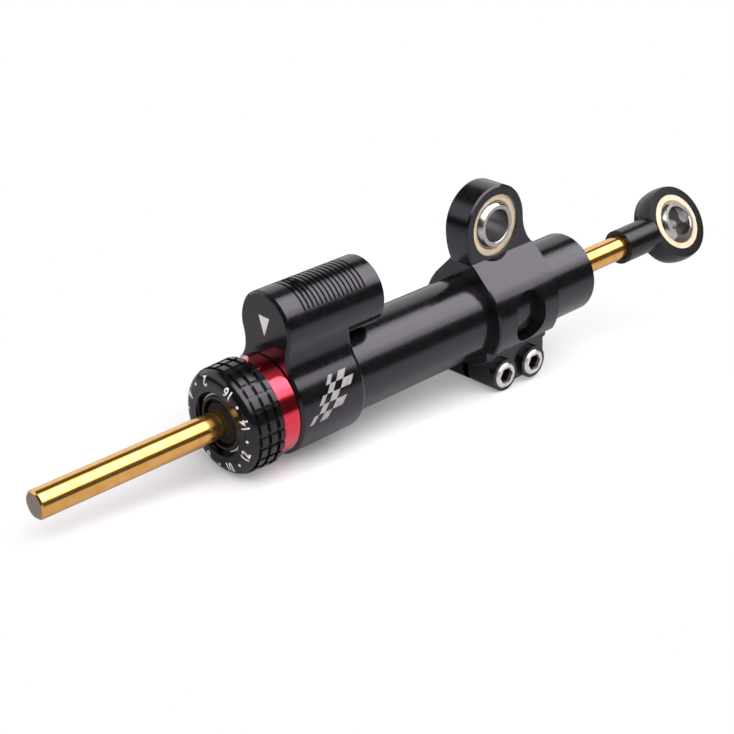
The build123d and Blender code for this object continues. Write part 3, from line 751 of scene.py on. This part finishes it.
def wrap_along(mark: bpy.types.Object, target: bpy.types.Object, thickness: float) -> None:
    """Lays a flat mark on a solid straight along the X axis and gives it the paint's thickness.

    Args:
        mark: The flat mark, square to the X axis and in front of the solid.
        target: The solid that it lies on.
        thickness: The paint's thickness, in metres.
    """
    only(mark)
    bpy.ops.object.mode_set(mode="EDIT")
    bpy.ops.mesh.select_all(action="SELECT")
    bpy.ops.mesh.quads_convert_to_tris()
    bpy.ops.mesh.subdivide(number_cuts=WRAP_CUTS)
    bpy.ops.object.mode_set(mode="OBJECT")
    drop = mark.modifiers.new("drop", "SHRINKWRAP")
    drop.target = target
    drop.wrap_method = "PROJECT"
    drop.use_project_x = True
    drop.use_positive_direction = True
    drop.use_negative_direction = False
    bpy.ops.object.modifier_apply(modifier=drop.name)
    for point in mark.data.vertices:
        point.co.x -= thickness * LIFTED_SHARE
    thicken(mark, thickness)


@dataclass
class DialMarks:
    """The white numbers at the even positions of the dial's face, and the dots at the odd ones.

    Attributes:
        steps: How many positions the dial has.
        ring: Where the dots' middles are from the rod's axis, in metres.
        inset: How much closer to the axis the numbers' middles are, in metres.
        height: How tall a number is, in metres.
        narrowness: How wide a number is against the typeface's own width.
        boldness: How much a number's strokes are widened, as a share of its height.
        figure_share: How tall a number is against the typeface's size.
        curve_steps: Into how many parts a number's curves are divided.
        dot: How wide a dot is, in metres.
        dot_corners: How many corners a dot has.
        lead: Where position one is, from straight up towards the front, in degrees.
        paint: The paint's thickness, in metres.
    """

    steps: int = 16
    ring: float = 12.5 * MM
    inset: float = 0.2 * MM
    height: float = 2.7 * MM
    narrowness: float = 0.84
    boldness: float = 0.025
    figure_share: float = 0.7
    curve_steps: int = 6
    dot: float = 0.85 * MM
    dot_corners: int = 20
    lead: float = 3.0
    paint: float = 0.08 * MM

    def turn(self, position: int) -> float:
        """Gives a position's angle from straight up towards the front.

        Args:
            position: The dial's position, from one up.

        Returns:
            The angle in degrees.
        """
        return self.lead + (self.steps + 1 - position) * FULL_TURN / self.steps

    def place(self, mark: bpy.types.Object, position: int) -> None:
        """Turns a mark that is drawn at the origin to its place on the face.

        Args:
            mark: The mark, flat in X and Y with its top towards +Y.
            position: The dial's position that it stands at.
        """
        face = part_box("adjuster_dial")[0].x
        top_inward = Matrix.Rotation(math.pi, 4, "Z")
        ring = self.ring if position % 2 else self.ring - self.inset
        out = Matrix.Translation(Vector((face - self.height, 0, ring)))
        around = Matrix.Rotation(math.radians(self.turn(position)), 4, "X")
        lift = Matrix.Translation(Vector((0, 0, axis_height())))
        mark.matrix_world = lift @ around @ out @ FACING_FRONT @ top_inward
        settle(mark)

    def number(self, position: int) -> bpy.types.Object:
        """Draws one number.

        Args:
            position: The dial's position.

        Returns:
            The number as a mesh at the origin.
        """
        bpy.ops.object.select_all(action="DESELECT")
        bpy.ops.object.text_add()
        words = bpy.context.object
        words.data.body = str(position)
        words.data.size = self.height / self.figure_share
        words.data.offset = self.boldness * self.height
        words.data.align_x = "CENTER"
        words.data.align_y = "CENTER"
        words.data.resolution_u = self.curve_steps
        bpy.ops.object.convert(target="MESH")
        mark = bpy.context.object
        mark.name = f"dial_number_{position}"
        bpy.ops.object.origin_set(type="ORIGIN_GEOMETRY", center="BOUNDS")
        mark.location = (0.0, 0.0, 0.0)
        mark.scale = (self.narrowness, 1.0, 1.0)
        settle(mark)
        return mark

    def spot(self, position: int) -> bpy.types.Object:
        """Draws one dot.

        Args:
            position: The dial's position.

        Returns:
            The dot as a mesh at the origin.
        """
        bpy.ops.object.select_all(action="DESELECT")
        bpy.ops.mesh.primitive_circle_add(
            vertices=self.dot_corners, radius=self.dot / 2, fill_type="TRIFAN",
        )
        mark = bpy.context.object
        mark.name = f"dial_dot_{position}"
        return mark

    def build(self, paint: bpy.types.Material) -> None:
        """Puts every mark on the dial.

        Args:
            paint: The marks' material.
        """
        dial = frame["nodes"]["adjuster_dial"]
        for position in range(2, self.steps + 1):
            mark = self.spot(position) if position % 2 else self.number(position)
            self.place(mark, position)
            wrap_along(mark, dial, self.paint)
            finish_mark(mark, paint, "dial")


# How tall and how wide a regular triangle is against the circle through its corners.
TRIANGLE_TALL_SHARE = 1.5
TRIANGLE_WIDE_SHARE = math.sqrt(3.0)


@dataclass
class IndexMark:
    """The white triangle on the reservoir's front face.

    Attributes:
        width: How wide its upper side is, in metres.
        top: Its upper side's height over the rod's axis, in metres.
        tip: Its tip's height over the rod's axis, in metres.
        lean: How far the reservoir leans towards the front, in degrees.
        paint: The paint's thickness, in metres.
    """

    width: float = 4.4 * MM
    top: float = 26.4 * MM
    tip: float = 20.5 * MM
    lean: float = 3.0
    paint: float = 0.03 * MM

    def build(self, paint: bpy.types.Material) -> None:
        """Puts the triangle on the head block.

        Args:
            paint: The mark's material.
        """
        radius = (self.top - self.tip) / TRIANGLE_TALL_SHARE
        bpy.ops.object.select_all(action="DESELECT")
        bpy.ops.mesh.primitive_circle_add(vertices=3, radius=radius, fill_type="NGON")
        mark = bpy.context.object
        mark.name = "index_triangle"
        sides = Matrix.Diagonal((self.width / (radius * TRIANGLE_WIDE_SHARE), 1, 1, 1))
        tip_down = Matrix.Rotation(math.pi, 4, "Z")
        out = Matrix.Translation(Vector((head_face() - self.paint / 2, 0, self.tip + radius)))
        around = Matrix.Rotation(math.radians(self.lean), 4, "X")
        lift = Matrix.Translation(Vector((0, 0, axis_height())))
        mark.matrix_world = lift @ around @ out @ FACING_FRONT @ tip_down @ sides
        settle(mark)
        thicken(mark, self.paint)
        finish_mark(mark, paint, "cylinder")


@dataclass
class ChequerPatch:
    """The etched chequer on the head block's side.

    Attributes:
        rows: Cells round the block.
        widths: How long each column's cells are along the rod, in metres.
        start: Where the first row starts behind the block's front face, in metres.
        set_back: How far each row is set towards the front, in metres.
        first_turn: Where the patch starts round the block, from straight up, in degrees.
        row_turn: How far round the block a cell reaches, in degrees.
        facets: Into how many parts a cell's sides are divided.
        depth: The etched layer's thickness, in metres.
    """

    rows: int = 5
    widths: tuple[float, ...] = (1.55 * MM, 2.1 * MM, 2.7 * MM, 3.7 * MM)
    start: float = 11.7 * MM
    set_back: float = 1.9 * MM
    first_turn: float = 56.2
    row_turn: float = 8.8
    facets: int = 6
    depth: float = 0.03 * MM

    def along(self, column: float, row: float) -> float:
        """Gives a place's distance behind the block's front face.

        Args:
            column: The place's column, which can lie between two.
            row: The place's row, which can lie between two.

        Returns:
            The distance in metres.
        """
        whole = min(int(column), len(self.widths) - 1)
        passed = sum(self.widths[:whole]) + (column - whole) * self.widths[whole]
        return self.start + passed - row * self.set_back

    def cell(self, column: int, row: int, face: float, middle: float, radius: float) -> bpy.types.Object:
        """Makes one etched cell.

        Args:
            column: The cell's column.
            row: The cell's row.
            face: Where the block's front face is.
            middle: The height of the rod's axis.
            radius: The block's radius.

        Returns:
            The cell.
        """
        bpy.ops.object.select_all(action="DESELECT")
        bpy.ops.mesh.primitive_grid_add(x_subdivisions=self.facets, y_subdivisions=self.facets, size=1.0)
        cell = bpy.context.object
        half_cell = 0.5
        for point in cell.data.vertices:
            down = row + half_cell - point.co.y
            away = self.along(column + half_cell + point.co.x, down)
            turn = math.radians(self.first_turn + down * self.row_turn)
            point.co = (face + away, -math.sin(turn) * radius, math.cos(turn) * radius + middle)
        return cell

    def build(self, etched: bpy.types.Material) -> None:
        """Lays the chequer on the head block.

        Args:
            etched: The cells' material.
        """
        middle = axis_height()
        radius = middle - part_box("head_block")[0].z
        cells = []
        for row in range(self.rows):
            for column in range(row % 2, len(self.widths), 2):
                cells.append(self.cell(column, row, head_face(), middle, radius))
        only(cells[0])
        for cell in cells:
            cell.select_set(True)
        bpy.ops.object.join()
        patch = bpy.context.object
        patch.name = "chequer_patch"
        thicken(patch, self.depth)
        point_outwards(patch)
        finish_mark(patch, etched, "cylinder")


@dataclass
class ReservoirSpring:
    """The reservoir's spring, which sits between the floating piston and the cap.

    Attributes:
        stiff: How much of each end moves as one, in metres; not used.
        weld: How close corners are that become one, in metres.
    """

    stiff: float = 1.2 * MM
    weld: float = 0.001 * MM

    def build(self) -> None:
        """Puts a merged, smooth copy of the spring in the place of the stiff one."""
        node = frame["nodes"]["compensator_spring"]
        spring = bpy.data.objects.new("reservoir_spring", node.data.copy())
        bpy.context.scene.collection.objects.link(spring)
        spring.matrix_world = node.matrix_world
        settle(spring)
        point_outwards(spring, self.weld)
        bpy.ops.object.shade_smooth()
        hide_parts("compensator_spring")
        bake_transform(spring)
        log.info("piece %s", spring.name)


def panel(name: str, half_long: float, half_wide: float) -> bpy.types.Object:
    """Adds a flat panel of the studio about the origin.

    Args:
        name: Its name.
        half_long: Half its length, in metres.
        half_wide: Half its width, in metres.

    Returns:
        The panel.
    """
    bpy.ops.object.select_all(action="DESELECT")
    bpy.ops.mesh.primitive_plane_add(size=2.0)
    added = bpy.context.object
    added.name = name
    added.scale = (half_long, half_wide, 1.0)
    return added


@dataclass
class Studio:
    """The pale floor, the soft light and the camera.

    Attributes:
        floor_reach: How far the floor reaches behind and to the sides, in metres.
        floor_front: How far it reaches to the front, in metres.
        floor_dark: Its colour where its pattern is low.
        floor_light: Its colour where its pattern is high.
        floor_patch: The size of its patches, in metres.
        floor_rough: How rough it is.
        floor_specular: The strength of its clear reflection.
        slope_rounds: How often its slope is worked out anew from where it is touched.
        softbox_distance: How far the softbox is from the tube, in metres.
        softbox_turn: Its middle's angle from straight up towards the front, in degrees.
        softbox_spread: The angle that it fills across the tube, in degrees.
        softbox_length: Its length along the rod, in metres.
        softbox_along: Where its middle is along the rod, in metres.
        softbox_radiance: How bright it is.
        softbox_profile: Angles across it, from its front edge up and over, and its brightness there.
        wall_height: How tall the wall behind the damper is, in metres.
        wall_width: How wide it is, in metres.
        wall_sunk: How far it reaches below the damper, in metres.
        wall_level: How bright it is where it is pale.
        wall_dim: How bright it is where it is dark.
        wall_top_fade: The headings' height at which it is dark, and at which it is pale.
        wall_foot_fade: The same at its foot.
        wall_side_fade: The headings' place along X at which its foot is dark, and at which it is pale.
        room_level: How bright the room is to all but the camera and reflections.
        room_mirrored: How bright it is in reflections.
        centre: Where the damper's middle is along the rod, in metres.
        long_share: How much a distance along the rod counts.
        white_near: How much plain white the camera sees in the floor close to the damper.
        shadow_centre: Where the shadow is kept strongest along the rod, in metres.
        shadow_core: How far from there the floor starts to whiten, in metres.
        shadow_reach: How far from there the floor becomes plain white to the camera, in metres.
        gloss_near: How much the floor is dimmed in reflections close to the damper.
        gloss_core: How far from the damper's middle it starts to dim further, in metres.
        gloss_reach: How far from there it is black in reflections, in metres.
        camera_place: Where the camera is, in metres.
        camera_heading: Its heading, from +Y towards +X, in degrees.
        camera_drop: How far it looks down, in degrees.
        camera_roll: How far it is rolled, in degrees.
        lens: Its focal length, in millimetres.
        sensor: Its sensor's width, in millimetres.
        clip: How close to it things start to show, in metres.
    """

    floor_reach: float = 2.5
    floor_front: float = 0.42
    floor_dark: Colour = (0.79, 0.765, 0.80)
    floor_light: Colour = (0.81, 0.785, 0.82)
    floor_patch: float = 50.0 * MM
    floor_rough: float = 0.9
    floor_specular: float = 0.1
    slope_rounds: int = 8
    softbox_distance: float = 0.62
    softbox_turn: float = 26.0
    softbox_spread: float = 78.0
    softbox_length: float = 1.46
    softbox_along: float = 0.13
    softbox_radiance: float = 3.8
    softbox_profile: tuple[tuple[float, float], ...] = (
        (64.5, 0.0), (61.5, 0.12), (57.0, 0.6), (45.5, 0.75), (42.5, 1.0), (9.0, 1.0), (2.0, 0.85),
        (-4.0, 0.65), (-8.0, 0.4), (-11.0, 0.0),
    )
    wall_height: float = 5.0
    wall_width: float = 10.0
    wall_sunk: float = 0.625
    wall_level: float = 0.95
    wall_dim: float = 0.03
    wall_top_fade: tuple[float, float] = (0.72, 0.56)
    wall_foot_fade: tuple[float, float] = (0.12, 0.28)
    wall_side_fade: tuple[float, float] = (-0.55, -0.25)
    room_level: float = 0.03
    room_mirrored: float = 0.04
    centre: float = -5.0 * MM
    long_share: float = 0.9
    white_near: float = 0.08
    shadow_centre: float = -50.0 * MM
    shadow_core: float = 45.0 * MM
    shadow_reach: float = 0.135
    gloss_near: float = 0.36
    gloss_core: float = 62.5 * MM
    gloss_reach: float = 0.5
    camera_place: Axes = (-0.326194, -0.307736, 0.174193)
    camera_heading: float = 41.9424
    camera_drop: float = 26.3134
    camera_roll: float = -2.3548
    lens: float = 78.33
    sensor: float = 36.0
    clip: float = 10.0 * MM

    def floor_line(self) -> tuple[Vector, float]:
        """Finds the plane that the dial and the clamp's lugs rest on.

        Returns:
            A point of the plane and its slope about the Y axis, in radians.
        """
        dial = [point.co.copy() for point in frame["nodes"]["adjuster_dial"].data.vertices]
        lugs = [point.co.copy() for point in frame["nodes"]["clamp_body"].data.vertices]
        slope = 0.0
        for _ in range(self.slope_rounds):
            down = Vector((-math.sin(slope), 0, -math.cos(slope)))
            front = max(dial, key=down.dot)
            rear = max(lugs, key=down.dot)
            slope = math.atan2(front.z - rear.z, rear.x - front.x)
        return front, slope

    def floor_material(self) -> bpy.types.Material:
        """Builds the floor's finish: white to the camera with its shadows, dimmer in reflections.

        Returns:
            The material.
        """
        shading = Shading("studio_floor")
        patches = shading.spread(shading.noise(self.floor_patch), 0.0, 1.0)
        shading.link(shading.blend(patches, self.floor_dark, self.floor_light), Socket.COLOUR)
        shading.set(Socket.ROUGH, self.floor_rough)
        shading.set(Socket.SPECULAR, self.floor_specular)
        counted = (self.long_share, 1.0, 1.0)
        away = shading.reach((self.centre, 0.0, 0.0), 0.0, counted)
        off_shadow = shading.reach((self.shadow_centre, 0.0, 0.0), 0.0, counted)
        whitening = shading.spread(off_shadow, self.white_near, 1.0, self.shadow_core, self.shadow_reach)
        dimming = shading.spread(away, self.gloss_near, 1.0, self.gloss_core, self.gloss_reach)
        plain = shading.shader.outputs["BSDF"]
        white = shading.faded(plain, whitening, 1.0)
        dim = shading.faded(plain, dimming, 0.0)
        seen = shading.chosen(shading.ray(Ray.GLOSSY), plain, dim)
        shading.surface(shading.chosen(shading.ray(Ray.CAMERA), seen, white))
        return shading.material

    def floor(self) -> None:
        """Lays the floor under the dial and the lugs."""
        point, slope = self.floor_line()
        depth = (self.floor_reach + self.floor_front) / 2
        floor = panel("studio_floor", self.floor_reach, depth)
        floor.rotation_euler = (0.0, slope, 0.0)
        floor.location = (point.x, depth - self.floor_front, point.z)
        settle(floor)
        floor.data.materials.append(self.floor_material())

    def sky(self) -> None:
        """Builds the room: white to the camera, dimmer in reflections and dim to all else."""
        world = bpy.data.worlds.new("studio_room")
        bpy.context.scene.world = world
        world.use_nodes = True
        nodes = Nodes(world.node_tree)
        room = nodes.tree.nodes["Background"]
        room.inputs["Color"].default_value = (*WHITE, 1.0)
        mirrored = nodes.both(nodes.ray(Ray.GLOSSY), nodes.ray(Ray.TRANSMISSION), Joining.LARGER)
        level = nodes.spread(mirrored, self.room_level, self.room_mirrored, 0.0, 1.0)
        shown = nodes.both(nodes.ray(Ray.CAMERA), level, Joining.LARGER)
        nodes.tree.links.new(shown, room.inputs["Strength"])

    def wall_material(self) -> bpy.types.Material:
        """Builds the back wall's finish: pale low down, dark high up and close to the floor on the left.

        Returns:
            The material.
        """
        shading = Shading("studio_wall")
        tree = shading.tree
        heading = tree.nodes.new("ShaderNodeVectorMath")
        heading.operation = "NORMALIZE"
        tree.links.new(shading.place, heading.inputs[0])
        apart = tree.nodes.new("ShaderNodeSeparateXYZ")
        tree.links.new(heading.outputs["Vector"], apart.inputs["Vector"])
        low = shading.step(apart.outputs["Z"], *self.wall_top_fade)
        raised = shading.step(apart.outputs["Z"], *self.wall_foot_fade)
        inward = shading.step(apart.outputs["X"], *self.wall_side_fade)
        pale = shading.both(low, shading.both(raised, inward, Joining.LARGER), Joining.PRODUCT)
        level = shading.spread(pale, self.wall_dim, self.wall_level, 0.0, 1.0)
        shading.shine(shading.both(shading.ray(Ray.CAMERA), level, Joining.LARGER))
        return shading.material

    def wall(self) -> None:
        """Stands the pale wall behind the damper."""
        wall = panel("studio_wall", self.wall_width / 2, self.wall_height / 2)
        wall.rotation_euler = (math.pi / 2, 0.0, 0.0)
        wall.location = (0.0, self.floor_reach, self.wall_height / 2 - self.wall_sunk)
        settle(wall)
        wall.data.materials.append(self.wall_material())

    def softbox_material(self) -> bpy.types.Material:
        """Builds the softbox's cloth, which fades towards its long edges.

        Returns:
            The material.
        """
        shading = Shading("softbox_cloth")
        tree = shading.tree
        apart = tree.nodes.new("ShaderNodeSeparateXYZ")
        tree.links.new(shading.place, apart.inputs["Vector"])
        across = shading.spread(apart.outputs["Y"], 0.0, 1.0, -1.0, 1.0)
        fall = tree.nodes.new("ShaderNodeValToRGB")
        tree.links.new(across, fall.inputs["Fac"])
        stops = fall.color_ramp.elements
        half = math.tan(math.radians(self.softbox_spread / 2))
        while len(stops) < len(self.softbox_profile):
            stops.new(position=0.5)
        for stop, (angle, level) in zip(stops, self.softbox_profile):
            offset = math.tan(math.radians(angle - self.softbox_turn))
            stop.position = (1 - offset / half) / 2
            stop.color = (level, level, level, 1.0)
        shading.shine(shading.spread(fall.outputs["Color"], 0.0, self.softbox_radiance, 0.0, 1.0))
        return shading.material

    def softbox(self) -> None:
        """Hangs the large softbox over the tube."""
        low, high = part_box("cylinder_tube")
        centre = (low + high) / 2
        turn = math.radians(self.softbox_turn)
        out = Vector((0.0, -math.sin(turn), math.cos(turn)))
        half = self.softbox_distance * math.tan(math.radians(self.softbox_spread / 2))
        cloth = panel("softbox", self.softbox_length / 2, half)
        cloth.rotation_euler = (turn, 0.0, 0.0)
        cloth.location = Vector((self.softbox_along, centre.y, centre.z)) + out * self.softbox_distance
        cloth.data.materials.append(self.softbox_material())
        cloth.visible_camera = False

    def camera(self) -> None:
        """Stands the camera where the photograph was taken from."""
        lens = bpy.data.cameras.new("camera")
        lens.sensor_width = self.sensor
        lens.lens = self.lens
        lens.clip_start = self.clip
        eye = bpy.data.objects.new("camera", lens)
        heading = math.radians(self.camera_heading)
        drop = math.radians(self.camera_drop)
        ahead = math.cos(drop)
        look = Vector((math.sin(heading) * ahead, math.cos(heading) * ahead, -math.sin(drop)))
        level = look.to_track_quat("-Z", "Y")
        roll = Quaternion((0.0, 0.0, 1.0), math.radians(self.camera_roll))
        eye.rotation_mode = "QUATERNION"
        eye.rotation_quaternion = level @ roll
        eye.location = self.camera_place
        bpy.context.scene.collection.objects.link(eye)
        bpy.context.scene.camera = eye

    def build(self) -> None:
        """Sets the whole studio up."""
        bpy.context.scene.view_settings.view_transform = "Standard"
        self.floor()
        self.sky()
        self.wall()
        self.softbox()
        self.camera()
        log.info("studio is ready")


def main() -> None:
    """Dresses the damper and sets up the studio."""
    clear_strangers()
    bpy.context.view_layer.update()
    dress_nodes()
    white = WHITE_PAINT.material()
    DialMarks().build(white)
    IndexMark().build(white)
    ChequerPatch().build(ETCHED.material())
    ReservoirSpring().build()
    Studio().build()


if __name__ == "__main__":
    main()
